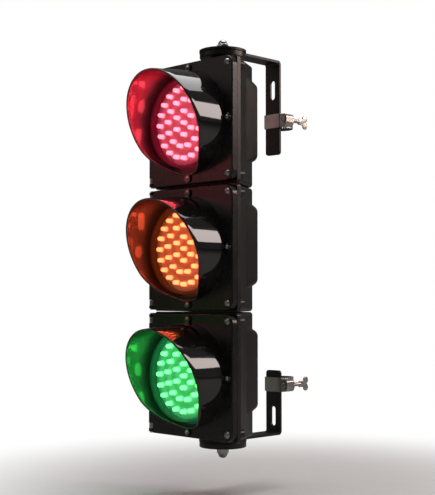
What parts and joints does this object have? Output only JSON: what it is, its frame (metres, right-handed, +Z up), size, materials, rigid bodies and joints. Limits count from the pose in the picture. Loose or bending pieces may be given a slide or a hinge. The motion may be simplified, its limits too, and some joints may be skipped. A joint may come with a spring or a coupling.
{
  "type": "traffic signal head",
  "caption": "Vertical signal head with hinged lamp doors, cutaway visors and LED lamps, swivelling on two L brackets with thumb-screw band clamps for a round pole.",
  "frame": {"origin": "on the pole's axis, midway between the two band clamps and level with the middle lamp", "axes": "+X to the viewer's right, +Y from the head back to the pole, +Z up along the pole; the lamps shine towards -Y"},
  "size_m": [0.146, 0.2585, 0.5128],
  "materials": {
    "housing_black": "glossy moulded polycarbonate",
    "door_black": "glossy moulded polycarbonate",
    "visor_black": "glossy moulded polycarbonate",
    "stainless": "stainless steel",
    "bright_plated": "bright zinc plated",
    "bracket_black": "black powder coated steel",
    "brass_plated": "nickel plated brass",
    "rubber_black": "moulded rubber",
    "gland_black": "nylon",
    "module_grey": "moulded nylon",
    "board_white": "white solder mask",
    "board_green": "green solder mask",
    "component_dark": "moulded component cases",
    "red_lens": "tinted clear polycarbonate",
    "red_led": "lit LED epoxy",
    "amber_lens": "tinted clear polycarbonate",
    "amber_led": "lit LED epoxy",
    "green_lens": "tinted clear polycarbonate",
    "green_led": "lit LED epoxy"
  },
  "bodies": {
    "pole_mount": {"top_bracket": "bracket_black", "bottom_bracket": "bracket_black", "upper_clamp_band": "stainless", "lower_clamp_band": "stainless", "upper_worm_housing": "stainless", "lower_worm_housing": "stainless", "pivot_bolts": "stainless", "dome_nuts": "bright_plated", "pivot_washers": "stainless", "bottom_cap": "housing_black"},
    "head": {"red_housing": "housing_black", "amber_housing": "housing_black", "green_housing": "housing_black", "door_seals": "rubber_black", "hinge_pins": "stainless", "hinge_bushes": "stainless", "coupling_nipples": "brass_plated", "coupling_rings": "housing_black", "coupling_nuts": "brass_plated", "end_spacers": "housing_black", "cable_gland": "gland_black", "terminal_block": "module_grey", "control_board": "board_green", "control_parts": "component_dark", "board_standoffs": "module_grey"},
    "red_door": {"red_door": "door_black", "red_door_screws": "stainless", "red_visor": "visor_black", "red_visor_screws": "stainless", "red_lens": "red_lens", "red_lens_gasket": "rubber_black", "red_lamp_module": "module_grey", "red_module_clips": "stainless", "red_led_board": "board_white", "red_board_screws": "stainless", "red_leds": "red_led"},
    "amber_door": {"amber_door": "door_black", "amber_door_screws": "stainless", "amber_visor": "visor_black", "amber_visor_screws": "stainless", "amber_lens": "amber_lens", "amber_lens_gasket": "rubber_black", "amber_lamp_module": "module_grey", "amber_module_clips": "stainless", "amber_led_board": "board_white", "amber_board_screws": "stainless", "amber_leds": "amber_led"},
    "green_door": {"green_door": "door_black", "green_door_screws": "stainless", "green_visor": "visor_black", "green_visor_screws": "stainless", "green_lens": "green_lens", "green_lens_gasket": "rubber_black", "green_lamp_module": "module_grey", "green_module_clips": "stainless", "green_led_board": "board_white", "green_board_screws": "stainless", "green_leds": "green_led"},
    "upper_thumb_screw": {"upper_thumb_screw": "stainless"},
    "lower_thumb_screw": {"lower_thumb_screw": "stainless"}
  },
  "joints": [
    {"name": "head_swivel", "type": "hinge", "parent": "pole_mount", "child": "head", "pos_m": [0, -0.108, 0], "axis": [0, 0, 1], "range_deg": [-90, 90]},
    {"name": "red_door_hinge", "type": "hinge", "parent": "head", "child": "red_door", "pos_m": [-0.0685, -0.1615, 0.15], "axis": [0, 0, -1], "range_deg": [0, 110]},
    {"name": "amber_door_hinge", "type": "hinge", "parent": "head", "child": "amber_door", "pos_m": [-0.0685, -0.1615, 0], "axis": [0, 0, -1], "range_deg": [0, 110]},
    {"name": "green_door_hinge", "type": "hinge", "parent": "head", "child": "green_door", "pos_m": [-0.0685, -0.1615, -0.15], "axis": [0, 0, -1], "range_deg": [0, 110]},
    {"name": "upper_clamp_screw", "type": "hinge", "parent": "pole_mount", "child": "upper_thumb_screw", "pos_m": [0.0209, -0.01, 0.169], "axis": [0, 1, 0], "continuous": true},
    {"name": "lower_clamp_screw", "type": "hinge", "parent": "pole_mount", "child": "lower_thumb_screw", "pos_m": [0.0209, -0.01, -0.169], "axis": [0, 1, 0], "continuous": true}
  ]
}
